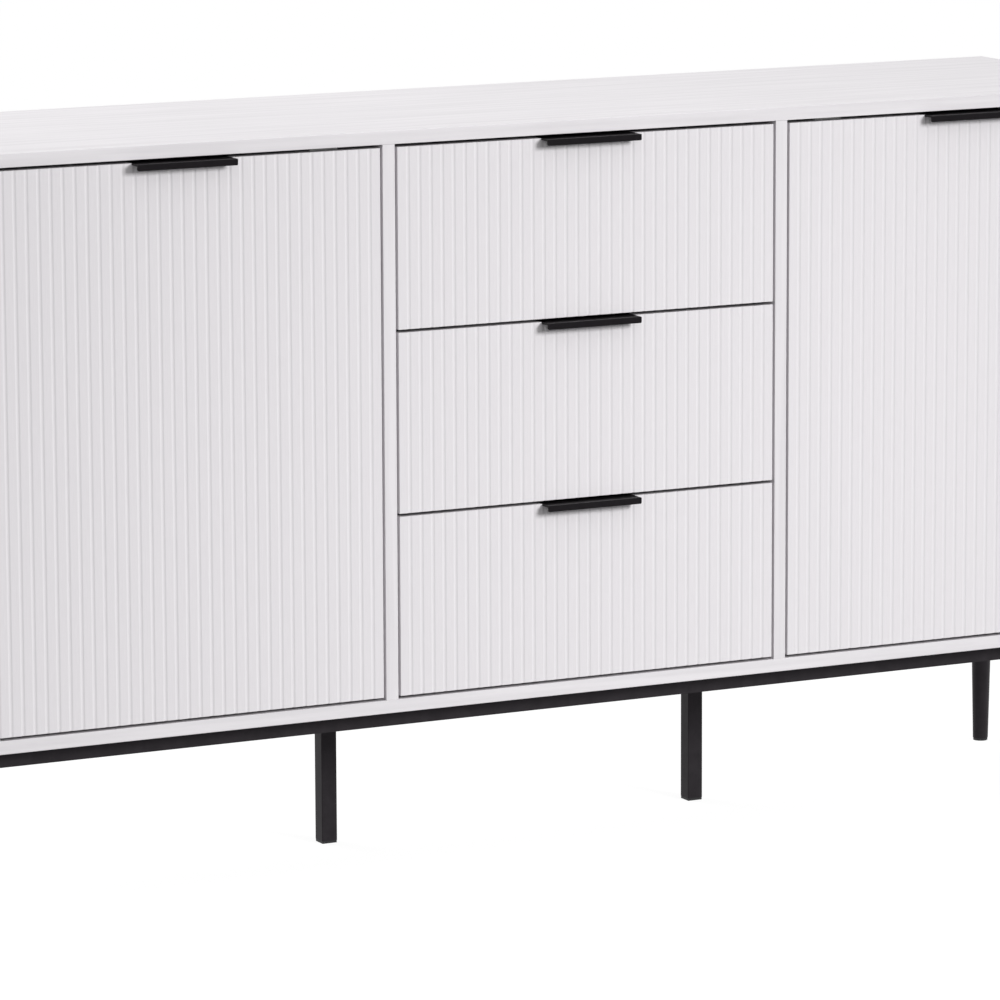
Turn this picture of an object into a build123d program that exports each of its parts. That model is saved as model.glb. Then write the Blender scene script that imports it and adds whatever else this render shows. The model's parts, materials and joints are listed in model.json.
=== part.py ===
"""Sideboard: a white carcass with two ribbed doors and three ribbed drawers on a black steel base.

Millimetres, with +X to the right, +Y to the back and +Z up. The origin lies on the floor under the
middle of the overall box, which reaches from the handle lips to the back edges of the carcass.
"""

import math
import os

from build123d import *

# Carcass
WIDTH = 1500.0
DEPTH = 390.0
CARCASS_HEIGHT = 652.0
BASE_HEIGHT = 188.0
BOARD = 15.0
EDGE_ROUND = 0.8
EDGE_EASE = 0.5
BAYS = 3

# Back board, set into a rebate so that its screw heads stay inside the carcass
BACK_BOARD = 3.0
BACK_RECESS = 2.0
REBATE_WIDTH = 8.0
REBATE_PLAY = 0.5
BACK_SCREWS_ALONG = 8
BACK_SCREWS_UP = 3
BACK_SCREW_INSET = 60.0

# Fronts, inset flush with the carcass, with flat ribs between shallow round-bottomed grooves
FRONT_THICKNESS = 16.0
SIDE_GAP = 3.0
LEVEL_GAP = 3.5
RIB_PITCH = 14.0
GROOVE_REACH = 2.8
GROOVE_DEPTH = 0.75
GROOVE_SHOULDER = 2.0
LEAST_EDGE_RIB = 8.0

# Edge pulls, folded from sheet over the top edge of each front
HANDLE_LENGTH = 118.0
HANDLE_REACH = 16.0
HANDLE_LIP = 7.0
HANDLE_FLANGE = 26.0
HANDLE_SHEET = 2.0
HANDLE_BEND = 1.0
HANDLE_CORNER = 1.5
HANDLE_PLAY = 0.2
HANDLE_SCREW_SPACING = 80.0
HANDLE_SCREW_DROP = 15.0

# Door pivots: steel pins in the door turn in flanged bushes in the top and bottom panels
PIVOT_INSET = 10.0
PIVOT_SETBACK = 7.0
PIN_RADIUS = 3.0
PIN_DEPTH = 25.0
PIN_REACH = 8.0
BUSH_RADIUS = 4.5
BUSH_FLANGE_RADIUS = 6.0
BUSH_DEPTH = 10.0
PIVOT_PLAY = 0.05
RUNNING_GAP = 0.3

# Magnetic catches, knocked into the top panel, and their strikes, knocked into the doors
CATCH_INSET = 60.0
CATCH_LENGTH = 34.0
CATCH_DEPTH = 12.0
CATCH_HEIGHT = 20.0
CATCH_SPIGOT_RADIUS = 3.0
CATCH_SPIGOT_LENGTH = 8.0
CATCH_SPIGOT_SPACING = 18.0
STRIKE_RADIUS = 6.0
STRIKE_THICKNESS = 1.5
STRIKE_STEM_RADIUS = 2.0
STRIKE_STEM_LENGTH = 10.0

# Shelves on pins
SHELF_HEIGHT = 300.0
SHELF_SETBACK = 40.0
SHELF_PLAY = 1.0
SHELF_PIN_RADIUS = 2.5
SHELF_PIN_DEPTH = 8.0
SHELF_PIN_REACH = 9.0
SHELF_PIN_INSET = 45.0

# Dowels between the upright boards and the top and bottom panels
DOWEL_RADIUS = 4.0
DOWEL_IN_PANEL = 10.0
DOWEL_IN_UPRIGHT = 18.0
DOWEL_INSET = 50.0
DOWELS_PER_JOINT = 3

# Drawer boxes
DRAWER_DEPTH = 350.0
DRAWER_SIDE = 12.0
DRAWER_SIDE_HEIGHT = 130.0
DRAWER_LIFT = 20.0
DRAWER_BOTTOM = 3.0
DRAWER_BOTTOM_LIFT = 10.0
DRAWER_GROOVE = 5.0
GROOVE_PLAY = 0.1
GROOVE_END_PLAY = 0.5

# Cam fittings between a drawer's sides and its front, and screws through its back
CAM_RADIUS = 6.0
CAM_DEPTH = 9.0
CAM_SETBACK = 24.0
CAM_BOLT_RADIUS = 2.5
CAM_BOLT_IN_FRONT = 9.0
CAM_INSET = 32.0
BACK_JOINT_INSET = 30.0

# Telescopic runners: three nested channels on each side of a drawer
RUNNER_SPACE = 12.7
RUNNER_HEIGHT = 45.0
RUNNER_SHEET = 1.2
RUNNER_LENGTH = 345.0
RUNNER_SETBACK = 2.0
RUNNER_SCREW_INSET = 35.0
RUNNER_SCREW_GRIP = 6.0

# Steel base: a mitred frame of square tube with two cross rails
FRAME_TUBE = 20.0
FRAME_RECESS = 25.0
TUBE_WALL = 1.5
FRAME_SCREW_SPACING = 560.0

# Round tapered corner legs and square support legs
LEG_FOOT_RADIUS = 9.3
LEG_TOP_RADIUS = 12.9
LEG_INSET = 70.0
LEG_CAP = 6.0
LEG_RING_DROP = 11.0
LEG_RING_SPACING = 2.2
LEG_RING_WIDTH = 0.8
LEG_RING_DEPTH = 0.4
LEG_STUD_RADIUS = 4.0
LEG_STUD_LENGTH = 14.0
SUPPORT_SPACING = 478.0
SUPPORT_TUBE = 19.0
SUPPORT_CORNER = 1.0
PAD_THICKNESS = 3.0
PAD_SPIGOT = 8.0
PAD_MARGIN = 0.5

# Screws, as shank radius, head radius and head height, and the cross recess in every head
RECESS_WIDTH = 0.9
RECESS_DEPTH = 0.9
SMALL_SHANK = 1.5
SMALL_HEAD = 3.5
SMALL_HEAD_HEIGHT = 1.4
SMALL_LENGTH = 12.0
SCREW_SHANK = 2.0
SCREW_HEAD = 4.0
SCREW_HEAD_HEIGHT = 2.4
HANDLE_SCREW_LENGTH = 14.0
BOX_SCREW_LENGTH = 35.0
FRAME_SHANK = 2.5
FRAME_HEAD = 5.0
FRAME_HEAD_HEIGHT = 2.8
FRAME_SCREW_GRIP = 10.0
DRIVER_PLAY = 1.0
FIT = 0.05
HOLE_END = 0.5

# Places worked out from the sizes
HALF = WIDTH / 2
FRONT_Y = (HANDLE_REACH - DEPTH) / 2
BACK_Y = FRONT_Y + DEPTH
REAR_Y = BACK_Y - BACK_RECESS - BACK_BOARD
FRONT_BACK_Y = FRONT_Y + FRONT_THICKNESS
TOP_Z = BASE_HEIGHT + CARCASS_HEIGHT
INNER_LOW = BASE_HEIGHT + BOARD
INNER_HIGH = TOP_Z - BOARD
INNER_HEIGHT = INNER_HIGH - INNER_LOW
INNER_X = HALF - BOARD
SIDE_X = HALF - BOARD / 2
BAY_WIDTH = (WIDTH - (BAYS + 1) * BOARD) / BAYS
BAY_PITCH = BAY_WIDTH + BOARD
DIVIDER_X = BAY_PITCH / 2
FRONT_WIDTH = BAY_WIDTH - 2 * SIDE_GAP
GROOVE_COUNT = 2 * int((FRONT_WIDTH / 2 - LEAST_EDGE_RIB) / RIB_PITCH) + 1
DOOR_LOW = INNER_LOW + LEVEL_GAP
DOOR_HEIGHT = INNER_HEIGHT - 2 * LEVEL_GAP
PIVOT_X = BAY_PITCH + FRONT_WIDTH / 2 - PIVOT_INSET
PIVOT_Y = FRONT_Y + PIVOT_SETBACK
CATCH_X = BAY_PITCH - FRONT_WIDTH / 2 + CATCH_INSET
CATCH_Y = FRONT_BACK_Y + STRIKE_THICKNESS + RUNNING_GAP
STRIKE_Z = INNER_HIGH - CATCH_HEIGHT / 2
RAIL_LOW = BASE_HEIGHT - FRAME_TUBE
FRAME_X = HALF - FRAME_RECESS
FRAME_FRONT_Y = FRONT_Y + FRAME_RECESS
FRAME_BACK_Y = BACK_Y - FRAME_RECESS
MIDDLE_Y = (FRONT_Y + BACK_Y) / 2
LEG_X = FRAME_X - FRAME_TUBE / 2
BOX_WIDTH = BAY_WIDTH - 2 * RUNNER_SPACE
BOX_INNER = BOX_WIDTH - 2 * DRAWER_SIDE
BOX_BACK_Y = FRONT_BACK_Y + DRAWER_DEPTH

# Turns that point a piece's own +Z along the named way, and for each side the outward and inward ways
UPWARD = (0, 0, 0)
DOWNWARD = (180, 0, 0)
BACKWARD = (-90, 0, 0)
FORWARD = (90, 0, 0)
RIGHTWARD = (0, 90, 0)
LEFTWARD = (0, -90, 0)
FROM_BASE = (Align.CENTER, Align.CENTER, Align.MIN)
TO_TOP = (Align.CENTER, Align.CENTER, Align.MAX)

SIDES = (("left", -1), ("right", 1))
WAYS = {-1: (LEFTWARD, RIGHTWARD), 1: (RIGHTWARD, LEFTWARD)}
DRAWERS = ("lower", "middle", "upper")
DRAWER_HEIGHT = (INNER_HEIGHT - (len(DRAWERS) + 1) * LEVEL_GAP) / len(DRAWERS)

os.makedirs("parts", exist_ok=True)


def save(builder, label):
    """Name the finished piece and write it as one node."""
    builder.part.label = label
    export_step(builder.part, f"parts/{label}.step")


def spread(low, high, count):
    """Evenly spaced values from low to high."""
    return [low + i * (high - low) / (count - 1) for i in range(count)]


def block(low, high, mode=Mode.ADD):
    """A box between two corners, added to or cut from the open part."""
    size = [b - a for a, b in zip(low, high)]
    with Locations(tuple((a + b) / 2 for a, b in zip(low, high))):
        Box(*size, mode=mode)


def bore(points, radius, depth, turn):
    """Round holes cut into the open part, each from its point along the turn."""
    with Locations(*points):
        Cylinder(radius, depth, rotation=turn, align=FROM_BASE, mode=Mode.SUBTRACT)


def rods(points, radius, length, turn):
    """Round rods added to the open part, each from its point along the turn."""
    with Locations(*points):
        Cylinder(radius, length, rotation=turn, align=FROM_BASE)


def cross_recess(span, top_z):
    """Cross cut into the open part, in the top of a screw's head."""
    with Locations((0, 0, top_z)):
        Box(span, RECESS_WIDTH, RECESS_DEPTH, align=TO_TOP, mode=Mode.SUBTRACT)
        Box(RECESS_WIDTH, span, RECESS_DEPTH, align=TO_TOP, mode=Mode.SUBTRACT)


def make_screw(shank, length, head, head_height):
    """Pan-head screw with its head above the origin and its shank below."""
    with BuildPart() as screw:
        Cylinder(shank, length, align=TO_TOP)
        Cylinder(head, head_height, align=FROM_BASE)
        fillet(screw.edges().group_by(Axis.Z)[-1], head_height / 3)
        cross_recess(head, head_height)
    return screw.part


def make_flat_screw(shank, length, head, head_height):
    """Countersunk screw with the top of its head at head_height above the origin and its shank below."""
    with BuildPart() as screw:
        Cylinder(shank, length, align=TO_TOP)
        Cone(shank, head, head_height, align=FROM_BASE)
        cross_recess(head, head_height)
    return screw.part


def place(piece, points, turn):
    """Copies of a finished piece added to the open part."""
    with Locations(*points):
        add(piece, rotation=turn)


# Seats shared by the boards and the fasteners in them
DOWEL_ROWS = spread(FRONT_Y + DOWEL_INSET, BACK_Y - DOWEL_INSET, DOWELS_PER_JOINT)
UPRIGHTS = (-SIDE_X, -DIVIDER_X, DIVIDER_X, SIDE_X)
BACK_COLUMNS = spread(-INNER_X + BACK_SCREW_INSET, INNER_X - BACK_SCREW_INSET, BACK_SCREWS_ALONG)
BACK_ROWS = spread(INNER_LOW, INNER_HIGH, BACK_SCREWS_UP + 2)[1:-1]
REBATE_MIDDLE = REBATE_WIDTH / 2
HEAD_Y = REAR_Y + BACK_BOARD
SMALL_GRIP = SMALL_LENGTH - BACK_BOARD
FRAME_SCREW_ROWS = (FRAME_FRONT_Y + FRAME_TUBE / 2, FRAME_BACK_Y - FRAME_TUBE / 2)
FRAME_SCREW_COLUMNS = (-FRAME_SCREW_SPACING, 0, FRAME_SCREW_SPACING)
FRAME_SCREWS = [(x, y) for x in FRAME_SCREW_COLUMNS for y in FRAME_SCREW_ROWS]
RUNNER_Y = FRONT_BACK_Y + RUNNER_SETBACK
RUNNER_LIFT = DRAWER_LIFT + DRAWER_SIDE_HEIGHT / 2
RUNNER_SCREW_ROWS = (RUNNER_Y + RUNNER_SCREW_INSET, RUNNER_Y + RUNNER_LENGTH - RUNNER_SCREW_INSET)
SHELF_Z = INNER_LOW + SHELF_HEIGHT
SHELF_FRONT_Y = FRONT_Y + SHELF_SETBACK
SHELF_REAR_Y = REAR_Y - SHELF_PLAY
SHELF_PIN_Z = SHELF_Z - SHELF_PIN_RADIUS - FIT
SHELF_PIN_ROWS = (SHELF_FRONT_Y + SHELF_PIN_INSET, SHELF_REAR_Y - SHELF_PIN_INSET)


def drawer_low(index):
    """Lower edge of a drawer's front."""
    return INNER_LOW + LEVEL_GAP + index * (DRAWER_HEIGHT + LEVEL_GAP)


def runner_screw_seats(face_x):
    """Where the screws of the three drawers' runners enter a board, on the face at face_x."""
    return [(face_x, y, drawer_low(index) + RUNNER_LIFT)
            for index in range(len(DRAWERS)) for y in RUNNER_SCREW_ROWS]


def flat_panel_cuts(face_z, inward, dowel_turn):
    """Dowel, bush and back-screw holes that the top and bottom panels share, and their rebate."""
    bore([(x, y, face_z) for x in UPRIGHTS for y in DOWEL_ROWS],
         DOWEL_RADIUS + FIT, DOWEL_IN_PANEL + HOLE_END, dowel_turn)
    bore([(sign * PIVOT_X, PIVOT_Y, face_z) for _, sign in SIDES],
         BUSH_RADIUS + FIT, BUSH_DEPTH, dowel_turn)
    reach = INNER_X + REBATE_WIDTH
    rebate_z = sorted((face_z, face_z - inward * REBATE_WIDTH))
    block((-reach, REAR_Y, rebate_z[0]), (reach, BACK_Y, rebate_z[1]), mode=Mode.SUBTRACT)
    bore([(x, REAR_Y, face_z - inward * REBATE_MIDDLE) for x in BACK_COLUMNS],
         SMALL_SHANK + FIT, SMALL_GRIP + HOLE_END, FORWARD)


def front_edges(builder, along):
    """Edges of a plain board that lie in the plane of the fronts and run along an axis, lowest first."""
    return builder.edges().filter_by(along).group_by(Axis.Y)[0].sort_by(Axis.Z)


# Top panel
with BuildPart() as top_panel:
    block((-HALF, FRONT_Y, INNER_HIGH), (HALF, BACK_Y, TOP_Z))
    fillet(front_edges(top_panel, Axis.X)[0], EDGE_EASE)
    fillet(top_panel.faces().sort_by(Axis.Z)[-1].edges(), EDGE_ROUND)
    flat_panel_cuts(INNER_HIGH, -1, UPWARD)
    bore([(sign * CATCH_X + offset, CATCH_Y + CATCH_DEPTH / 2, INNER_HIGH)
          for _, sign in SIDES for offset in (-CATCH_SPIGOT_SPACING / 2, CATCH_SPIGOT_SPACING / 2)],
         CATCH_SPIGOT_RADIUS + FIT, CATCH_SPIGOT_LENGTH + HOLE_END, UPWARD)
save(top_panel, "top_panel")

# Bottom panel
with BuildPart() as bottom_panel:
    block((-HALF, FRONT_Y, BASE_HEIGHT), (HALF, BACK_Y, INNER_LOW))
    fillet(front_edges(bottom_panel, Axis.X)[-1], EDGE_EASE)
    fillet(bottom_panel.faces().sort_by(Axis.Z)[0].edges(), EDGE_ROUND)
    flat_panel_cuts(INNER_LOW, 1, DOWNWARD)
    bore([(x, y, BASE_HEIGHT) for x, y in FRAME_SCREWS],
         FRAME_SHANK + FIT, FRAME_SCREW_GRIP + HOLE_END, UPWARD)
save(bottom_panel, "bottom_panel")


def upright_cuts(centre_x):
    """Dowel holes in both ends of an upright board."""
    for end_z, turn in ((INNER_LOW, UPWARD), (INNER_HIGH, DOWNWARD)):
        bore([(centre_x, y, end_z) for y in DOWEL_ROWS],
             DOWEL_RADIUS + FIT, DOWEL_IN_UPRIGHT + HOLE_END, turn)


def shelf_pin_cuts(face_x, turn):
    """Shelf pin holes in the face that looks into a door bay."""
    bore([(face_x, y, SHELF_PIN_Z) for y in SHELF_PIN_ROWS],
         SHELF_PIN_RADIUS + FIT, SHELF_PIN_DEPTH + HOLE_END, turn)


# Side panels and dividers
for name, sign in SIDES:
    outward, inward = WAYS[sign]
    with BuildPart() as side_panel:
        edge_x = sorted((sign * INNER_X, sign * HALF))
        block((edge_x[0], FRONT_Y, INNER_LOW), (edge_x[1], BACK_Y, INNER_HIGH))
        fillet(front_edges(side_panel, Axis.Z), EDGE_EASE)
        rebate_x = sorted((sign * INNER_X, sign * (INNER_X + REBATE_WIDTH)))
        block((rebate_x[0], REAR_Y, INNER_LOW), (rebate_x[1], BACK_Y, INNER_HIGH), mode=Mode.SUBTRACT)
        upright_cuts(sign * SIDE_X)
        shelf_pin_cuts(sign * INNER_X, outward)
        bore([(sign * (INNER_X + REBATE_MIDDLE), REAR_Y, z) for z in BACK_ROWS],
             SMALL_SHANK + FIT, SMALL_GRIP + HOLE_END, FORWARD)
    save(side_panel, f"{name}_side_panel")

    with BuildPart() as divider:
        block((sign * DIVIDER_X - BOARD / 2, FRONT_Y, INNER_LOW),
              (sign * DIVIDER_X + BOARD / 2, REAR_Y, INNER_HIGH))
        fillet(front_edges(divider, Axis.Z), EDGE_EASE)
        upright_cuts(sign * DIVIDER_X)
        shelf_pin_cuts(sign * (DIVIDER_X + BOARD / 2), inward)
        bore([(sign * DIVIDER_X, REAR_Y, z) for z in BACK_ROWS],
             SMALL_SHANK + FIT, SMALL_GRIP + HOLE_END, FORWARD)
        bore(runner_screw_seats(sign * BAY_WIDTH / 2),
             SMALL_SHANK + FIT, RUNNER_SCREW_GRIP + HOLE_END, outward)
    save(divider, f"{name}_divider")

# Back board and every screw seat in it
BACK_SEATS = [(x, z) for x in BACK_COLUMNS
              for z in (INNER_LOW - REBATE_MIDDLE, INNER_HIGH + REBATE_MIDDLE)]
BACK_SEATS += [(x, z) for z in BACK_ROWS
               for x in (-INNER_X - REBATE_MIDDLE, -DIVIDER_X, DIVIDER_X, INNER_X + REBATE_MIDDLE)]
BACK_REACH = REBATE_WIDTH - REBATE_PLAY
with BuildPart() as back_panel:
    block((-INNER_X - BACK_REACH, REAR_Y, INNER_LOW - BACK_REACH),
          (INNER_X + BACK_REACH, HEAD_Y, INNER_HIGH + BACK_REACH))
    bore([(x, REAR_Y, z) for x, z in BACK_SEATS], SMALL_SHANK + FIT, BACK_BOARD, BACKWARD)
save(back_panel, "back_panel")

# Dowels
with BuildPart() as panel_dowels:
    for x in UPRIGHTS:
        for seat_z in (INNER_LOW - DOWEL_IN_PANEL, INNER_HIGH - DOWEL_IN_UPRIGHT):
            rods([(x, y, seat_z) for y in DOWEL_ROWS],
                 DOWEL_RADIUS, DOWEL_IN_PANEL + DOWEL_IN_UPRIGHT, UPWARD)
save(panel_dowels, "panel_dowels")

# Screws that hold the back board, the base frame and the cabinet members of the runners
RUNNER_SCREW = make_flat_screw(SMALL_SHANK, RUNNER_SCREW_GRIP, SMALL_HEAD, RUNNER_SHEET)
with BuildPart() as carcass_screws:
    place(make_screw(SMALL_SHANK, SMALL_LENGTH, SMALL_HEAD, SMALL_HEAD_HEIGHT),
          [(x, HEAD_Y, z) for x, z in BACK_SEATS], BACKWARD)
    place(make_screw(FRAME_SHANK, TUBE_WALL + FRAME_SCREW_GRIP, FRAME_HEAD, FRAME_HEAD_HEIGHT),
          [(x, y, BASE_HEIGHT - TUBE_WALL) for x, y in FRAME_SCREWS], DOWNWARD)
    place(RUNNER_SCREW, runner_screw_seats(-BAY_WIDTH / 2), RIGHTWARD)
    place(RUNNER_SCREW, runner_screw_seats(BAY_WIDTH / 2), LEFTWARD)
save(carcass_screws, "carcass_screws")

# Shelves, each on four pins
for name, sign in SIDES:
    with BuildPart() as shelf:
        half_shelf = BAY_WIDTH / 2 - SHELF_PLAY
        block((sign * BAY_PITCH - half_shelf, SHELF_FRONT_Y, SHELF_Z),
              (sign * BAY_PITCH + half_shelf, SHELF_REAR_Y, SHELF_Z + BOARD))
    save(shelf, f"{name}_shelf")

with BuildPart() as shelf_pins:
    for face_x, turn in ((-INNER_X, RIGHTWARD), (-DIVIDER_X - BOARD / 2, LEFTWARD),
                         (DIVIDER_X + BOARD / 2, RIGHTWARD), (INNER_X, LEFTWARD)):
        start_x = face_x - SHELF_PIN_DEPTH if turn == RIGHTWARD else face_x + SHELF_PIN_DEPTH
        rods([(start_x, y, SHELF_PIN_Z) for y in SHELF_PIN_ROWS],
             SHELF_PIN_RADIUS, SHELF_PIN_DEPTH + SHELF_PIN_REACH, turn)
save(shelf_pins, "shelf_pins")


# Base frame
def mitred_tube(plane, length):
    """Square tube along the plane's X, mitred at both ends, with its outer face on that axis."""
    half, near, far = length / 2, TUBE_WALL, FRAME_TUBE - TUBE_WALL
    with BuildPart() as tube:
        with BuildSketch(plane):
            Polygon((-half, 0), (half, 0), (half - FRAME_TUBE, FRAME_TUBE),
                    (FRAME_TUBE - half, FRAME_TUBE), align=None)
        extrude(amount=FRAME_TUBE)
        with BuildSketch(plane.offset(TUBE_WALL)):
            Polygon((near - half, near), (half - near, near), (half - far, far),
                    (far - half, far), align=None)
        extrude(amount=far - near, mode=Mode.SUBTRACT)
    return tube.part


# The screw heads sit inside the long rails, and a wider hole in the lower wall lets the driver in
for name, face_y, along in (("front", FRAME_FRONT_Y, 1), ("back", FRAME_BACK_Y, -1)):
    rail_tube = mitred_tube(Plane((0, face_y, RAIL_LOW), x_dir=(along, 0, 0)), 2 * FRAME_X)
    screw_y = face_y + along * FRAME_TUBE / 2
    with BuildPart() as long_rail:
        add(rail_tube)
        bore([(x, screw_y, BASE_HEIGHT - TUBE_WALL) for x in FRAME_SCREW_COLUMNS],
             FRAME_SHANK + FIT, TUBE_WALL, UPWARD)
        bore([(x, screw_y, RAIL_LOW) for x in FRAME_SCREW_COLUMNS],
             FRAME_HEAD + DRIVER_PLAY, TUBE_WALL, UPWARD)
    save(long_rail, f"{name}_rail")

END_TUBES = [mitred_tube(Plane((sign * FRAME_X, MIDDLE_Y, RAIL_LOW), x_dir=(0, sign, 0)),
                         FRAME_BACK_Y - FRAME_FRONT_Y) for _, sign in SIDES]
LEG_ROWS = (("front", FRONT_Y + LEG_INSET), ("back", BACK_Y - LEG_INSET))
with BuildPart() as end_rails:
    for tube in END_TUBES:
        add(tube)
    bore([(sign * LEG_X, y, RAIL_LOW) for _, sign in SIDES for _, y in LEG_ROWS],
         LEG_STUD_RADIUS + FIT, TUBE_WALL, UPWARD)
save(end_rails, "end_rails")

with BuildPart() as cross_rails:
    with BuildSketch(Plane((0, FRAME_FRONT_Y + FRAME_TUBE, BASE_HEIGHT - FRAME_TUBE / 2),
                           x_dir=(1, 0, 0), z_dir=(0, -1, 0))):
        with GridLocations(SUPPORT_SPACING, FRAME_TUBE, len(SIDES), 1):
            Rectangle(FRAME_TUBE, FRAME_TUBE)
            Rectangle(FRAME_TUBE - 2 * TUBE_WALL, FRAME_TUBE - 2 * TUBE_WALL, mode=Mode.SUBTRACT)
    extrude(amount=-(FRAME_BACK_Y - FRAME_FRONT_Y - 2 * FRAME_TUBE))
save(cross_rails, "cross_rails")

# Corner legs: tapered tube with a closed top, a stud that goes up into the end rail and two turned rings
LEG_CORE = LEG_FOOT_RADIUS - TUBE_WALL
LEG_SLOPE = (LEG_TOP_RADIUS - LEG_FOOT_RADIUS) / (RAIL_LOW - PAD_THICKNESS)
LEG_RINGS = []
for ring_drop in (LEG_RING_DROP + LEG_RING_SPACING, LEG_RING_DROP):
    for offset, cut in ((-LEG_RING_WIDTH / 2, 0), (0, LEG_RING_DEPTH), (LEG_RING_WIDTH / 2, 0)):
        ring_z = RAIL_LOW - ring_drop + offset
        LEG_RINGS.append((LEG_FOOT_RADIUS + LEG_SLOPE * (ring_z - PAD_THICKNESS) - cut, ring_z))
for row, leg_y in LEG_ROWS:
    for name, sign in SIDES:
        with BuildPart() as leg:
            with BuildSketch(Plane((sign * LEG_X, leg_y, 0), x_dir=(1, 0, 0), z_dir=(0, -1, 0))):
                cap_z = RAIL_LOW - LEG_CAP
                Polygon((LEG_CORE, PAD_THICKNESS), (LEG_FOOT_RADIUS, PAD_THICKNESS), *LEG_RINGS,
                        (LEG_TOP_RADIUS, RAIL_LOW), (LEG_STUD_RADIUS, RAIL_LOW),
                        (LEG_STUD_RADIUS, RAIL_LOW + LEG_STUD_LENGTH), (0, RAIL_LOW + LEG_STUD_LENGTH),
                        (0, cap_z), (LEG_CORE + LEG_SLOPE * (cap_z - PAD_THICKNESS), cap_z), align=None)
            revolve(axis=Axis((sign * LEG_X, leg_y, 0), (0, 0, 1)))
        save(leg, f"{row}_{name}_leg")

# Support legs under the cross rails
for name, sign in SIDES:
    with BuildPart() as support_leg:
        with BuildSketch(Plane((sign * SUPPORT_SPACING / 2, MIDDLE_Y, PAD_THICKNESS))):
            RectangleRounded(SUPPORT_TUBE, SUPPORT_TUBE, SUPPORT_CORNER)
            Rectangle(SUPPORT_TUBE - 2 * TUBE_WALL, SUPPORT_TUBE - 2 * TUBE_WALL, mode=Mode.SUBTRACT)
        extrude(amount=RAIL_LOW - PAD_THICKNESS)
    save(support_leg, f"{name}_support_leg")

# Floor pads with spigots that plug the legs
CORNER_FEET = [(sign * LEG_X, y) for _, sign in SIDES for _, y in LEG_ROWS]
SUPPORT_FEET = [(sign * SUPPORT_SPACING / 2, MIDDLE_Y) for _, sign in SIDES]
PLUG_HEIGHT = PAD_THICKNESS + PAD_SPIGOT
PAD_SIDE = SUPPORT_TUBE - 2 * PAD_MARGIN
PLUG_SIDE = SUPPORT_TUBE - 2 * TUBE_WALL - 2 * FIT
with BuildPart() as leg_pads:
    with Locations(*[(x, y, 0) for x, y in CORNER_FEET]):
        Cylinder(LEG_FOOT_RADIUS - PAD_MARGIN, PAD_THICKNESS, align=FROM_BASE)
        Cylinder(LEG_CORE - FIT, PLUG_HEIGHT, align=FROM_BASE)
    with Locations(*[(x, y, 0) for x, y in SUPPORT_FEET]):
        Box(PAD_SIDE, PAD_SIDE, PAD_THICKNESS, align=FROM_BASE)
        Box(PLUG_SIDE, PLUG_SIDE, PLUG_HEIGHT, align=FROM_BASE)
save(leg_pads, "leg_pads")

# Pivot bushes: a sleeve in the panel and a flange that fills the gap but for the running clearance
BUSH_FLANGE = LEVEL_GAP - RUNNING_GAP
with BuildPart() as pivot_bushes:
    for _, sign in SIDES:
        for face_z, turn, back_turn in ((INNER_LOW, UPWARD, DOWNWARD), (INNER_HIGH, DOWNWARD, UPWARD)):
            seat = [(sign * PIVOT_X, PIVOT_Y, face_z)]
            rods(seat, BUSH_FLANGE_RADIUS, BUSH_FLANGE, turn)
            rods(seat, BUSH_RADIUS, BUSH_DEPTH, back_turn)
            bore(seat, PIN_RADIUS + PIVOT_PLAY, BUSH_FLANGE, turn)
            bore(seat, PIN_RADIUS + PIVOT_PLAY, BUSH_DEPTH, back_turn)
save(pivot_bushes, "pivot_bushes")

# Magnetic catches
with BuildPart() as door_catches:
    for _, sign in SIDES:
        block((sign * CATCH_X - CATCH_LENGTH / 2, CATCH_Y, INNER_HIGH - CATCH_HEIGHT),
              (sign * CATCH_X + CATCH_LENGTH / 2, CATCH_Y + CATCH_DEPTH, INNER_HIGH))
    fillet(door_catches.edges().filter_by(Axis.Z), EDGE_ROUND)
    rods([(sign * CATCH_X + offset, CATCH_Y + CATCH_DEPTH / 2, INNER_HIGH)
          for _, sign in SIDES for offset in (-CATCH_SPIGOT_SPACING / 2, CATCH_SPIGOT_SPACING / 2)],
         CATCH_SPIGOT_RADIUS, CATCH_SPIGOT_LENGTH, UPWARD)
save(door_catches, "door_catches")

# One groove between two ribs, in plan: rounded shoulders that run tangent into a hollow
GROOVE_TURN = 2 * math.atan(GROOVE_DEPTH / GROOVE_REACH)
HOLLOW_RADIUS = GROOVE_REACH / math.sin(GROOVE_TURN) - GROOVE_SHOULDER
HOLLOW_REACH = HOLLOW_RADIUS * math.sin(GROOVE_TURN)
HOLLOW_Y = GROOVE_DEPTH - HOLLOW_RADIUS * (1 - math.cos(GROOVE_TURN))
with BuildSketch() as groove:
    with BuildLine():
        TangentArc((-GROOVE_REACH, 0), (-HOLLOW_REACH, HOLLOW_Y), tangent=(1, 0))
        ThreePointArc((-HOLLOW_REACH, HOLLOW_Y), (0, GROOVE_DEPTH), (HOLLOW_REACH, HOLLOW_Y))
        TangentArc((GROOVE_REACH, 0), (HOLLOW_REACH, HOLLOW_Y), tangent=(-1, 0))
        Line((-GROOVE_REACH, 0), (GROOVE_REACH, 0))
    make_face()


def handle_screw_seats(centre_x, top_z):
    """Where a handle's two screws enter the back face of its front."""
    return [(centre_x + offset, FRONT_BACK_Y, top_z - HANDLE_SCREW_DROP)
            for offset in (-HANDLE_SCREW_SPACING / 2, HANDLE_SCREW_SPACING / 2)]


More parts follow.
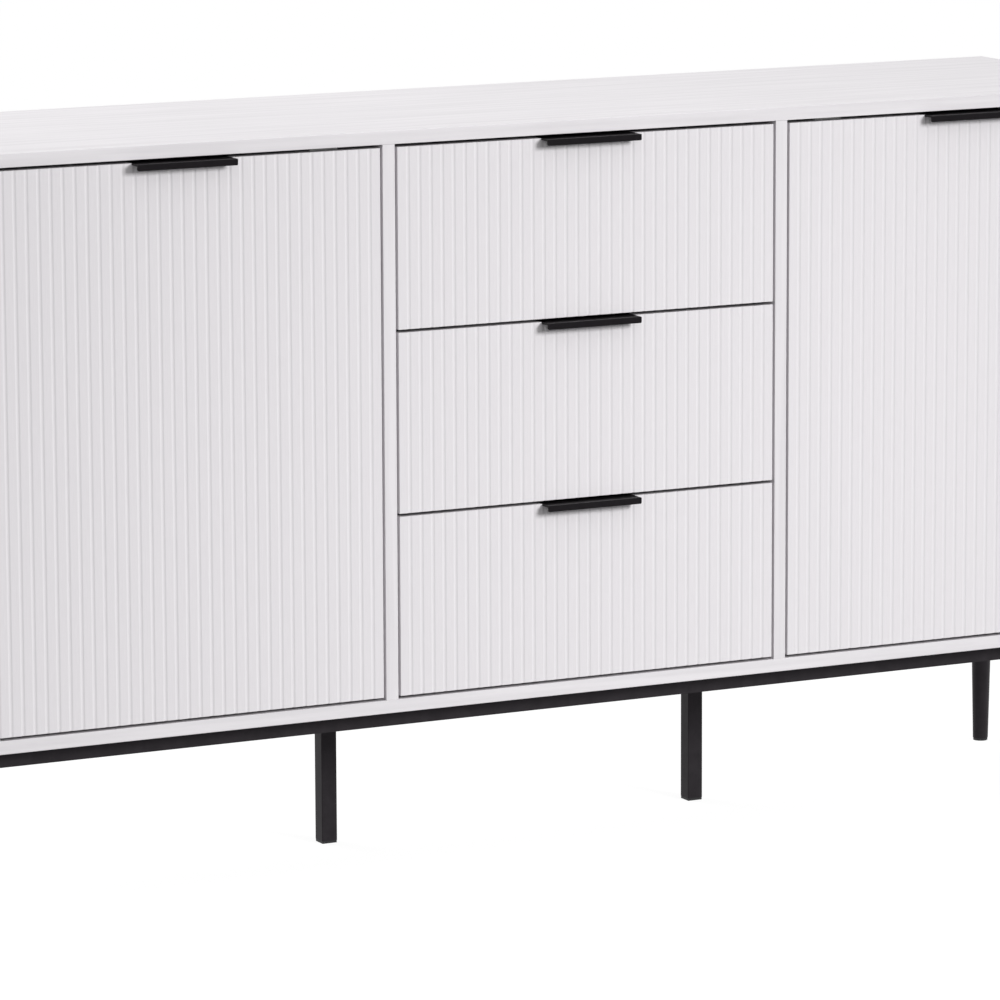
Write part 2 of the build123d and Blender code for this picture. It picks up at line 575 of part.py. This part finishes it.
def ribbed_front(centre_x, low_z, height):
    """Ribbed board with a notch in its top edge for the handle and pilot holes for its screws."""
    top_z = low_z + height
    notch = HANDLE_LENGTH / 2 + HANDLE_PLAY
    with BuildPart() as front:
        with BuildSketch(Plane((centre_x, FRONT_Y, low_z))):
            Rectangle(FRONT_WIDTH, FRONT_THICKNESS, align=(Align.CENTER, Align.MIN))
            fillet(vertices().group_by(Axis.Y)[0], EDGE_EASE)
            with GridLocations(RIB_PITCH, RIB_PITCH, GROOVE_COUNT, 1):
                add(groove.sketch, mode=Mode.SUBTRACT)
        extrude(amount=height)
        block((centre_x - notch, FRONT_Y, top_z - HANDLE_SHEET),
              (centre_x + notch, FRONT_BACK_Y, top_z), mode=Mode.SUBTRACT)
        bore(handle_screw_seats(centre_x, top_z), SCREW_SHANK + FIT,
             HANDLE_SCREW_LENGTH - HANDLE_SHEET + HOLE_END, FORWARD)
    return front.part


def make_handle(centre_x, top_z, label):
    """Edge pull: a lip in front, a web over the top edge and a flange screwed to the back face."""
    lip_y = FRONT_Y - HANDLE_REACH
    flange_y = FRONT_BACK_Y + HANDLE_SHEET
    under_z = top_z - HANDLE_SHEET
    with BuildPart() as handle:
        with BuildSketch(Plane((centre_x - HANDLE_LENGTH / 2, 0, 0), x_dir=(0, 1, 0), z_dir=(1, 0, 0))):
            Polygon((lip_y, top_z - HANDLE_LIP), (lip_y + HANDLE_SHEET, top_z - HANDLE_LIP),
                    (lip_y + HANDLE_SHEET, under_z), (FRONT_BACK_Y, under_z),
                    (FRONT_BACK_Y, top_z - HANDLE_FLANGE), (flange_y, top_z - HANDLE_FLANGE),
                    (flange_y, top_z), (lip_y, top_z), align=None)
        extrude(amount=HANDLE_LENGTH)
        fillet(handle.edges().filter_by(Axis.X).group_by(Axis.Z)[-1], HANDLE_BEND)
        end_edges = handle.edges().filter_by(Axis.Y).group_by(Axis.Z)
        fillet(end_edges[0] + end_edges[1], HANDLE_CORNER)
        bore(handle_screw_seats(centre_x, top_z), SCREW_SHANK + FIT, HANDLE_SHEET, BACKWARD)
    save(handle, label)


HANDLE_SCREW = make_screw(SCREW_SHANK, HANDLE_SCREW_LENGTH, SCREW_HEAD, SCREW_HEAD_HEIGHT)


def place_handle_screws(centre_x, top_z):
    """The two screws of a handle, with their heads on its flange."""
    place(HANDLE_SCREW, [(x, y + HANDLE_SHEET, z) for x, y, z in handle_screw_seats(centre_x, top_z)],
          BACKWARD)


# Doors, hinged at the outer ends of the carcass
DOOR_TOP = DOOR_LOW + DOOR_HEIGHT
DOOR_ENDS = ((DOOR_LOW, UPWARD, DOWNWARD), (DOOR_TOP, DOWNWARD, UPWARD))
for name, sign in SIDES:
    centre_x = sign * BAY_PITCH
    blank = ribbed_front(centre_x, DOOR_LOW, DOOR_HEIGHT)
    strike_seat = [(sign * CATCH_X, FRONT_BACK_Y, STRIKE_Z)]

    with BuildPart() as door:
        add(blank)
        for end_z, turn, _ in DOOR_ENDS:
            bore([(sign * PIVOT_X, PIVOT_Y, end_z)], PIN_RADIUS + FIT, PIN_DEPTH + HOLE_END, turn)
        bore(strike_seat, STRIKE_STEM_RADIUS + FIT, STRIKE_STEM_LENGTH + HOLE_END, FORWARD)
    save(door, f"{name}_door")

    make_handle(centre_x, DOOR_TOP, f"{name}_door_handle")

    with BuildPart() as door_screws:
        place_handle_screws(centre_x, DOOR_TOP)
    save(door_screws, f"{name}_door_handle_screws")

    with BuildPart() as pivot_pins:
        for end_z, turn, out_turn in DOOR_ENDS:
            rods([(sign * PIVOT_X, PIVOT_Y, end_z)], PIN_RADIUS, PIN_DEPTH, turn)
            rods([(sign * PIVOT_X, PIVOT_Y, end_z)], PIN_RADIUS, LEVEL_GAP + PIN_REACH, out_turn)
    save(pivot_pins, f"{name}_door_pivot_pins")

    with BuildPart() as strike:
        rods(strike_seat, STRIKE_RADIUS, STRIKE_THICKNESS, BACKWARD)
        rods(strike_seat, STRIKE_STEM_RADIUS, STRIKE_STEM_LENGTH, FORWARD)
    save(strike, f"{name}_door_strike")


# Runners
MEMBER_STEP = RUNNER_SHEET + RUNNING_GAP
CHANNEL_REACH = RUNNER_SPACE - MEMBER_STEP


def channel(web_x, toward, centre_z, height, depth):
    """Folded channel along Y with its web at web_x and its flanges pointing toward +X or -X."""
    half, inner = height / 2, height / 2 - RUNNER_SHEET
    lip, web = toward * depth, toward * RUNNER_SHEET
    with BuildPart() as member:
        with BuildSketch(Plane((web_x, RUNNER_Y, centre_z), x_dir=(1, 0, 0), z_dir=(0, -1, 0))):
            Polygon((0, -half), (lip, -half), (lip, -inner), (web, -inner),
                    (web, inner), (lip, inner), (lip, half), (0, half), align=None)
        extrude(amount=-RUNNER_LENGTH)
    return member.part


def countersinks(seats, turn):
    """Countersunk holes through the web of the open channel, widening along the turn."""
    with Locations(*seats):
        Cone(SMALL_SHANK + FIT, SMALL_HEAD + FIT, RUNNER_SHEET, rotation=turn, align=FROM_BASE,
             mode=Mode.SUBTRACT)


def runner_pair(web_x, toward, centre_z, height, depth):
    """The same member on the right and left of a drawer."""
    return [channel(sign * web_x, sign * toward, centre_z, height, depth) for _, sign in SIDES]


CABINET_MEMBERS = [member for index in range(len(DRAWERS)) for member in runner_pair(
    BAY_WIDTH / 2, -1, drawer_low(index) + RUNNER_LIFT, RUNNER_HEIGHT, CHANNEL_REACH)]
with BuildPart() as cabinet_runners:
    for member in CABINET_MEMBERS:
        add(member)
    countersinks(runner_screw_seats(-BAY_WIDTH / 2), RIGHTWARD)
    countersinks(runner_screw_seats(BAY_WIDTH / 2), LEFTWARD)
save(cabinet_runners, "cabinet_runners")

BOX_SCREW = make_screw(SCREW_SHANK, BOX_SCREW_LENGTH, SCREW_HEAD, SCREW_HEAD_HEIGHT)
BOLT_TIP_Y = FRONT_BACK_Y + CAM_SETBACK - CAM_RADIUS - FIT

# Drawers
for index, name in enumerate(DRAWERS):
    low_z = drawer_low(index)
    top_z = low_z + DRAWER_HEIGHT
    side_low = low_z + DRAWER_LIFT
    side_top = side_low + DRAWER_SIDE_HEIGHT
    floor_low = side_low + DRAWER_BOTTOM_LIFT
    floor_top = floor_low + DRAWER_BOTTOM
    groove_reach = BOX_INNER / 2 + DRAWER_GROOVE
    groove_z = (floor_low - GROOVE_PLAY, floor_top + GROOVE_PLAY)
    cam_rows = (side_low + CAM_INSET, side_top - CAM_INSET)
    screw_rows = (side_low + BACK_JOINT_INSET, side_top - BACK_JOINT_INSET)
    side_middles = [sign * (BOX_WIDTH - DRAWER_SIDE) / 2 for _, sign in SIDES]
    bolt_seats = [(x, FRONT_BACK_Y, z) for x in side_middles for z in cam_rows]
    screw_seats = [(x, BOX_BACK_Y, z) for x in side_middles for z in screw_rows]
    runner_z = low_z + RUNNER_LIFT
    runner_seats = {sign: [(sign * BOX_WIDTH / 2, y, runner_z) for y in RUNNER_SCREW_ROWS]
                    for _, sign in SIDES}
    blank = ribbed_front(0, low_z, DRAWER_HEIGHT)

    with BuildPart() as drawer_front:
        add(blank)
        block((-groove_reach, FRONT_BACK_Y - DRAWER_GROOVE, groove_z[0]),
              (groove_reach, FRONT_BACK_Y, groove_z[1]), mode=Mode.SUBTRACT)
        bore(bolt_seats, CAM_BOLT_RADIUS + FIT, CAM_BOLT_IN_FRONT + HOLE_END, FORWARD)
    save(drawer_front, f"{name}_drawer_front")

    side_end_y = BOX_BACK_Y - DRAWER_SIDE
    with BuildPart() as drawer_sides:
        for _, sign in SIDES:
            edge_x = sorted((sign * BOX_INNER / 2, sign * BOX_WIDTH / 2))
            block((edge_x[0], FRONT_BACK_Y, side_low), (edge_x[1], side_end_y, side_top))
        block((-groove_reach, FRONT_BACK_Y, groove_z[0]), (groove_reach, side_end_y, groove_z[1]),
              mode=Mode.SUBTRACT)
        bore(bolt_seats, CAM_BOLT_RADIUS + FIT, CAM_SETBACK, BACKWARD)
        for _, sign in SIDES:
            bore([(sign * BOX_INNER / 2, FRONT_BACK_Y + CAM_SETBACK, z) for z in cam_rows],
                 CAM_RADIUS + FIT, CAM_DEPTH + HOLE_END, WAYS[sign][0])
            bore(runner_seats[sign], SMALL_SHANK + FIT, RUNNER_SCREW_GRIP + HOLE_END, WAYS[sign][1])
        bore([(x, side_end_y, z) for x, _, z in screw_seats],
             SCREW_SHANK + FIT, BOX_SCREW_LENGTH - DRAWER_SIDE + HOLE_END, FORWARD)
    save(drawer_sides, f"{name}_drawer_sides")

    with BuildPart() as drawer_back:
        block((-BOX_WIDTH / 2, side_end_y, floor_top), (BOX_WIDTH / 2, BOX_BACK_Y, side_top))
        bore(screw_seats, SCREW_SHANK + FIT, DRAWER_SIDE, FORWARD)
    save(drawer_back, f"{name}_drawer_back")

    with BuildPart() as drawer_bottom:
        reach = groove_reach - GROOVE_END_PLAY
        block((-reach, FRONT_BACK_Y - DRAWER_GROOVE + GROOVE_END_PLAY, floor_low),
              (reach, BOX_BACK_Y, floor_top))
    save(drawer_bottom, f"{name}_drawer_bottom")

    make_handle(0, top_z, f"{name}_drawer_handle")

    with BuildPart() as drawer_fasteners:
        place_handle_screws(0, top_z)
        rods([(x, y - CAM_BOLT_IN_FRONT, z) for x, y, z in bolt_seats],
             CAM_BOLT_RADIUS, CAM_BOLT_IN_FRONT + BOLT_TIP_Y - FRONT_BACK_Y, BACKWARD)
        for _, sign in SIDES:
            rods([(sign * BOX_INNER / 2, FRONT_BACK_Y + CAM_SETBACK, z) for z in cam_rows],
                 CAM_RADIUS, CAM_DEPTH, WAYS[sign][0])
            place(RUNNER_SCREW, runner_seats[sign], WAYS[sign][0])
        place(BOX_SCREW, screw_seats, BACKWARD)
    save(drawer_fasteners, f"{name}_drawer_fasteners")

    drawer_members = runner_pair(BOX_WIDTH / 2, 1, runner_z, RUNNER_HEIGHT - 4 * MEMBER_STEP,
                                 RUNNER_SPACE - 2 * MEMBER_STEP)
    middle_members = runner_pair(BAY_WIDTH / 2 - MEMBER_STEP, -1, runner_z,
                                 RUNNER_HEIGHT - 2 * MEMBER_STEP, CHANNEL_REACH - MEMBER_STEP)
    with BuildPart() as drawer_runners:
        for member in drawer_members:
            add(member)
        for _, sign in SIDES:
            countersinks(runner_seats[sign], WAYS[sign][0])
    save(drawer_runners, f"{name}_drawer_runners")
    with BuildPart() as intermediate_runners:
        for member in middle_members:
            add(member)
    save(intermediate_runners, f"{name}_intermediate_runners")
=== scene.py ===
"""White ribbed sideboard on a black steel base: finishes, stage, light and camera."""

import json
import math

import bpy
from mathutils import Euler, Matrix, Vector

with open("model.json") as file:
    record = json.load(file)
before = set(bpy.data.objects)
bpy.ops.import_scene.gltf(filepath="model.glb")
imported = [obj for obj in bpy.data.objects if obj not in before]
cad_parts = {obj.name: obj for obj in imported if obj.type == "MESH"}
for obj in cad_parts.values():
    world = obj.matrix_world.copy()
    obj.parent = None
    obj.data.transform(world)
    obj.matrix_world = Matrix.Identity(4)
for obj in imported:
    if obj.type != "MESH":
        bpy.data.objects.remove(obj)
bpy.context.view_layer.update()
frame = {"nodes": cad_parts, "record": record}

# Camera, in metres and degrees
CAMERA_PLACE = (-3.113, -6.112, 1.576)
CAMERA_HEADING = 26.86
CAMERA_PITCH = 9.89
CAMERA_ROLL = 0.23
CAMERA_LENS = 217.0
SENSOR = 36.0

# Light, in metres, watts and degrees
KEY_PLACE = (1.5, -3.8, 1.9)
KEY_AIM = (-1.0, -0.19, -1.27)
KEY_POWER = 57.0
KEY_SIZE = 1.2
KEY_SPREAD = 107.0
FILL_PLACE = (-2.0, 3.4, 3.0)
FILL_AIM = (0.0, 0.0, 0.8)
FILL_POWER = 116.0
FILL_SIZE = 1.5
FILL_SPREAD = 180.0
AMBIENT = 0.57
FLOOR_SIZE = 80.0
FLOOR_COLOR = (0.16, 0.16, 0.16)
FLOOR_GLOW = 0.91

# Painted shade in the narrow gaps, darkened into the colour of the faces that look up: reach in metres,
# openness at full and at no shade, and the colour's share that is left at full shade, over the other boards
# and over the bottom panel
GAP_SAMPLES = 6
GAP_REACH = 0.008
GAP_CLOSED = 0.05
GAP_OPEN = 0.45
BOARD_PAINTED_SHADE = 0.08
BOTTOM_PAINTED_SHADE = 0.4

# Finishes, as linear colours
WHITE = (0.800, 0.777, 0.800)
WHITE_SHADE = (0.775, 0.752, 0.775)
GRAIN_LIGHT = (0.820, 0.797, 0.820)
GRAIN_DARK = (0.744, 0.722, 0.744)
INNER_WHITE = (0.78, 0.765, 0.775)
BACK_WHITE = (0.74, 0.725, 0.735)
BLACK = (0.0185, 0.0168, 0.0185)
BLACK_LIGHT = (0.0260, 0.0236, 0.0260)
ENAMEL = (0.0065, 0.0059, 0.0065)
ENAMEL_LIGHT = (0.0085, 0.0077, 0.0085)
BLACK_SHEEN = (1.0, 0.88, 1.0)
ZINC = (0.62, 0.63, 0.65)
ZINC_DARK = (0.46, 0.47, 0.49)
RUBBER = (0.012, 0.012, 0.013)
NYLON = (0.74, 0.74, 0.72)
BEECH = (0.62, 0.44, 0.27)
BEECH_DARK = (0.50, 0.33, 0.18)

# Where the noise starts and ends its run from one colour to the other
RAMP_START = 0.35
RAMP_END = 0.65

# Noise of each finish: how much finer it is along X, Y and Z, and its scale and detail
EVEN = (1, 1, 1)
ALONG_X = (1, 25, 25)
ALONG_Z = (25, 25, 1)
BROAD_GRAIN = (4.0, 5.0)
FINE_GRAIN = (40.0, 5.0)
PORES = (160.0, 3.0)
COAT_CLOUDS = (60.0, 3.0)
COAT_PEEL = (900.0, 2.0)
ENAMEL_CLOUDS = (90.0, 3.0)
ENAMEL_FLOW = (350.0, 2.0)
ROLLED = (20, 1, 20)
ROLLING_MARKS = (30.0, 4.0)
SPARK_TEXTURE = (1200.0, 2.0)
ALONG_DOWEL = (30, 30, 2)
BEECH_GRAIN = (20.0, 5.0)

# Surface of each finish: lowest and highest roughness, reflection, and bump as strength and height in metres
LACQUER_ROUGHNESS = (0.42, 0.52)
LACQUER_SPECULAR = 0.22
LACQUER_BUMP = (0.12, 0.0002)
COAT_ROUGHNESS = (0.45, 0.57)
COAT_SPECULAR = 0.17
COAT_BUMP = (0.25, 0.0001)
ENAMEL_ROUGHNESS = (0.26, 0.34)
ENAMEL_SPECULAR = 0.10
ENAMEL_BUMP = (0.15, 0.0001)
ZINC_ROUGHNESS = (0.28, 0.44)
PAD_ROUGHNESS = (0.54, 0.66)
NYLON_ROUGHNESS = (0.39, 0.51)
PLASTIC_BUMP = (0.3, 0.00008)
BEECH_ROUGHNESS = (0.55, 0.7)


def new_material(name):
    """A material with its shader and its node tree."""
    material = bpy.data.materials.new(name)
    material.use_nodes = True
    tree = material.node_tree
    return material, tree, tree.nodes["Principled BSDF"]


def noise(tree, stretch, scale, detail):
    """Noise on the object's own coordinates, stretched along chosen axes."""
    place = tree.nodes.new("ShaderNodeTexCoord")
    mapping = tree.nodes.new("ShaderNodeMapping")
    texture = tree.nodes.new("ShaderNodeTexNoise")
    mapping.inputs["Scale"].default_value = stretch
    texture.inputs["Scale"].default_value = scale
    texture.inputs["Detail"].default_value = detail
    tree.links.new(place.outputs["Object"], mapping.inputs["Vector"])
    tree.links.new(mapping.outputs["Vector"], texture.inputs["Vector"])
    return texture.outputs["Fac"]


def spread_colour(tree, shader, factor, low, high):
    """The shader's colour, running from low to high with the factor."""
    ramp = tree.nodes.new("ShaderNodeValToRGB")
    ramp.color_ramp.elements[0].position = RAMP_START
    ramp.color_ramp.elements[1].position = RAMP_END
    ramp.color_ramp.elements[0].color = (*low, 1)
    ramp.color_ramp.elements[1].color = (*high, 1)
    tree.links.new(factor, ramp.inputs["Fac"])
    tree.links.new(ramp.outputs["Color"], shader.inputs["Base Color"])


def spread_roughness(tree, shader, factor, low, high):
    """The shader's roughness, running from low to high with the factor."""
    span = tree.nodes.new("ShaderNodeMapRange")
    span.inputs["To Min"].default_value = low
    span.inputs["To Max"].default_value = high
    tree.links.new(factor, span.inputs["Value"])
    tree.links.new(span.outputs["Result"], shader.inputs["Roughness"])


def relief(tree, shader, factor, strength, distance):
    """A bump of the factor, with its height in metres."""
    bump = tree.nodes.new("ShaderNodeBump")
    bump.inputs["Strength"].default_value = strength
    bump.inputs["Distance"].default_value = distance
    tree.links.new(factor, bump.inputs["Height"])
    tree.links.new(bump.outputs["Normal"], shader.inputs["Normal"])


def paint_shade_in_gaps(tree, shader, share):
    """Paint shade into the colour of the faces that look up where another board stands a few millimetres
    above.
    """
    near = tree.nodes.new("ShaderNodeAmbientOcclusion")
    near.samples = GAP_SAMPLES
    near.inputs["Distance"].default_value = GAP_REACH
    shade = tree.nodes.new("ShaderNodeMapRange")
    shade.inputs["From Min"].default_value = GAP_CLOSED
    shade.inputs["From Max"].default_value = GAP_OPEN
    shade.inputs["To Min"].default_value = share
    place = tree.nodes.new("ShaderNodeNewGeometry")
    split = tree.nodes.new("ShaderNodeSeparateXYZ")
    upward = tree.nodes.new("ShaderNodeMix")
    upward.inputs["A"].default_value = 1.0
    darken = tree.nodes.new("ShaderNodeVectorMath")
    darken.operation = "SCALE"
    colour = shader.inputs["Base Color"].links[0].from_socket
    tree.links.new(near.outputs["AO"], shade.inputs["Value"])
    tree.links.new(place.outputs["Normal"], split.inputs["Vector"])
    tree.links.new(split.outputs["Z"], upward.inputs["Factor"])
    tree.links.new(shade.outputs["Result"], upward.inputs["B"])
    tree.links.new(colour, darken.inputs["Vector"])
    tree.links.new(upward.outputs["Result"], darken.inputs["Scale"])
    tree.links.new(darken.outputs["Vector"], shader.inputs["Base Color"])


def lacquer(name, along, fineness, low, high, painted_shade=BOARD_PAINTED_SHADE):
    """Satin lacquer over board, with a faint grain that runs along one axis and painted shade in its narrow
    gaps.
    """
    material, tree, shader = new_material(name)
    grain = noise(tree, along, *fineness)
    spread_colour(tree, shader, grain, low, high)
    # painted shade: the colour of faces that look up inside narrow gaps is darkened
    paint_shade_in_gaps(tree, shader, painted_shade)
    spread_roughness(tree, shader, grain, *LACQUER_ROUGHNESS)
    relief(tree, shader, noise(tree, along, *PORES), *LACQUER_BUMP)
    shader.inputs["Specular IOR Level"].default_value = LACQUER_SPECULAR
    return material


def powder_coat():
    """Matt black powder coat with its fine orange peel."""
    material, tree, shader = new_material("black_powder_coat")
    peel = noise(tree, EVEN, *COAT_PEEL)
    spread_colour(tree, shader, noise(tree, EVEN, *COAT_CLOUDS), BLACK, BLACK_LIGHT)
    spread_roughness(tree, shader, peel, *COAT_ROUGHNESS)
    relief(tree, shader, peel, *COAT_BUMP)
    shader.inputs["Specular IOR Level"].default_value = COAT_SPECULAR
    shader.inputs["Specular Tint"].default_value = (*BLACK_SHEEN, 1)
    return material


def stove_enamel():
    """Satin black enamel of the edge pulls, smoother than the powder coat of the base."""
    material, tree, shader = new_material("black_enamel")
    flow = noise(tree, EVEN, *ENAMEL_FLOW)
    spread_colour(tree, shader, noise(tree, EVEN, *ENAMEL_CLOUDS), ENAMEL, ENAMEL_LIGHT)
    spread_roughness(tree, shader, flow, *ENAMEL_ROUGHNESS)
    relief(tree, shader, flow, *ENAMEL_BUMP)
    shader.inputs["Specular IOR Level"].default_value = ENAMEL_SPECULAR
    shader.inputs["Specular Tint"].default_value = (*BLACK_SHEEN, 1)
    return material


def zinc():
    """Bright zinc plate with rolling marks along its length."""
    material, tree, shader = new_material("zinc_plate")
    marks = noise(tree, ROLLED, *ROLLING_MARKS)
    spread_colour(tree, shader, marks, ZINC_DARK, ZINC)
    spread_roughness(tree, shader, marks, *ZINC_ROUGHNESS)
    shader.inputs["Metallic"].default_value = 1.0
    return material


def moulded(name, colour, roughness):
    """Moulded plastic with a fine spark-eroded texture."""
    material, tree, shader = new_material(name)
    texture = noise(tree, EVEN, *SPARK_TEXTURE)
    shader.inputs["Base Color"].default_value = (*colour, 1)
    spread_roughness(tree, shader, texture, *roughness)
    relief(tree, shader, texture, *PLASTIC_BUMP)
    return material


def raw_wood():
    """Bare beech of the dowels."""
    material, tree, shader = new_material("raw_beech")
    grain = noise(tree, ALONG_DOWEL, *BEECH_GRAIN)
    spread_colour(tree, shader, grain, BEECH_DARK, BEECH)
    spread_roughness(tree, shader, grain, *BEECH_ROUGHNESS)
    return material


def light_path(tree, *kinds):
    """1 for rays of any of the named kinds, and 0 for the others."""
    path = tree.nodes.new("ShaderNodeLightPath")
    total = path.outputs[kinds[0]]
    for kind in kinds[1:]:
        larger = tree.nodes.new("ShaderNodeMath")
        larger.operation = "MAXIMUM"
        tree.links.new(total, larger.inputs[0])
        tree.links.new(path.outputs[kind], larger.inputs[1])
        total = larger.outputs["Value"]
    return total


SEEN = ("Is Camera Ray", "Is Glossy Ray", "Is Transmission Ray")


def make_floor():
    """A pale floor that shows white where it is lit, keeps the object's shadow and is clear from below."""
    bpy.ops.mesh.primitive_plane_add(size=FLOOR_SIZE)
    floor = bpy.context.active_object
    floor.name = "floor"
    material, tree, shader = new_material("pale_floor")
    shader.inputs["Base Color"].default_value = (*FLOOR_COLOR, 1)
    shader.inputs["Roughness"].default_value = 1.0
    shader.inputs["Specular IOR Level"].default_value = 0.0
    shader.inputs["Emission Color"].default_value = (1, 1, 1, 1)
    glow = tree.nodes.new("ShaderNodeMath")
    glow.operation = "MULTIPLY"
    glow.inputs[1].default_value = FLOOR_GLOW
    tree.links.new(light_path(tree, *SEEN), glow.inputs[0])
    tree.links.new(glow.outputs["Value"], shader.inputs["Emission Strength"])
    side = tree.nodes.new("ShaderNodeNewGeometry")
    clear = tree.nodes.new("ShaderNodeBsdfTransparent")
    choice = tree.nodes.new("ShaderNodeMixShader")
    tree.links.new(side.outputs["Backfacing"], choice.inputs["Fac"])
    tree.links.new(shader.outputs["BSDF"], choice.inputs[1])
    tree.links.new(clear.outputs["BSDF"], choice.inputs[2])
    tree.links.new(choice.outputs["Shader"], tree.nodes["Material Output"].inputs["Surface"])
    floor.data.materials.append(material)


def make_world():
    """Even white surroundings, brighter to the eye than to the surfaces that they light."""
    world = bpy.data.worlds.new("studio")
    bpy.context.scene.world = world
    world.use_nodes = True
    tree = world.node_tree
    background = tree.nodes["Background"]
    background.inputs["Color"].default_value = (1, 1, 1, 1)
    strength = tree.nodes.new("ShaderNodeMapRange")
    strength.inputs["To Min"].default_value = AMBIENT
    strength.inputs["To Max"].default_value = 1.0
    tree.links.new(light_path(tree, *SEEN), strength.inputs["Value"])
    tree.links.new(strength.outputs["Result"], background.inputs["Strength"])


def make_lamp(name, place, aim, power, size, spread):
    """A square soft box that points from its place to its aim."""
    data = bpy.data.lights.new(name, "AREA")
    data.energy = power
    data.size = size
    data.spread = math.radians(spread)
    lamp = bpy.data.objects.new(name, data)
    lamp.location = place
    lamp.rotation_euler = (Vector(aim) - Vector(place)).to_track_quat("-Z", "Y").to_euler()
    lamp.visible_glossy = False
    bpy.context.scene.collection.objects.link(lamp)


def make_camera():
    """The camera at the photograph's viewing angle."""
    data = bpy.data.cameras.new("camera")
    data.sensor_width = SENSOR
    data.lens = CAMERA_LENS
    camera = bpy.data.objects.new("camera", data)
    camera.location = CAMERA_PLACE
    aim = Euler((math.radians(90 - CAMERA_PITCH), 0, math.radians(-CAMERA_HEADING))).to_matrix()
    camera.rotation_euler = (aim @ Matrix.Rotation(math.radians(-CAMERA_ROLL), 3, "Z")).to_euler()
    bpy.context.scene.collection.objects.link(camera)
    bpy.context.scene.camera = camera


# One finish for each of the record's slots, and the finishes of the boards that differ from their slot's
FINISHES = {
    "white_lacquer": lacquer("white_lacquer", ALONG_X, BROAD_GRAIN, GRAIN_DARK, GRAIN_LIGHT),
    "white_front": lacquer("white_front", ALONG_Z, FINE_GRAIN, WHITE_SHADE, WHITE),
    "drawer_board": lacquer("drawer_board", ALONG_X, FINE_GRAIN, INNER_WHITE, WHITE),
    "back_board": lacquer("back_board", ALONG_X, FINE_GRAIN, BACK_WHITE, INNER_WHITE),
    "black_steel": powder_coat(),
    "black_handle": stove_enamel(),
    "zinc_steel": zinc(),
    "black_plastic": moulded("black_pad", RUBBER, PAD_ROUGHNESS),
    "white_plastic": moulded("white_nylon", NYLON, NYLON_ROUGHNESS),
    "dowel_wood": raw_wood(),
}
UPRIGHT_GRAIN = lacquer("white_upright", ALONG_Z, BROAD_GRAIN, GRAIN_DARK, GRAIN_LIGHT)
UPRIGHTS = ("left_side_panel", "left_divider", "right_divider", "right_side_panel")
BOARD_FINISHES = dict.fromkeys(UPRIGHTS, UPRIGHT_GRAIN)
# the bottom panel gets a lighter painted shade in the gaps under the fronts
BOARD_FINISHES["bottom_panel"] = lacquer("white_bottom", ALONG_X, BROAD_GRAIN, GRAIN_DARK, GRAIN_LIGHT,
                                         BOTTOM_PAINTED_SHADE)

for part in frame["record"]["subparts"]:
    node = frame["nodes"][part["node"]]
    node.data.materials.clear()
    node.data.materials.append(BOARD_FINISHES.get(part["node"], FINISHES[part["material_slot"]]))

make_floor()
make_world()
make_lamp("key", KEY_PLACE, KEY_AIM, KEY_POWER, KEY_SIZE, KEY_SPREAD)
make_lamp("fill", FILL_PLACE, FILL_AIM, FILL_POWER, FILL_SIZE, FILL_SPREAD)
make_camera()

bpy.context.scene.view_settings.view_transform = "Standard"
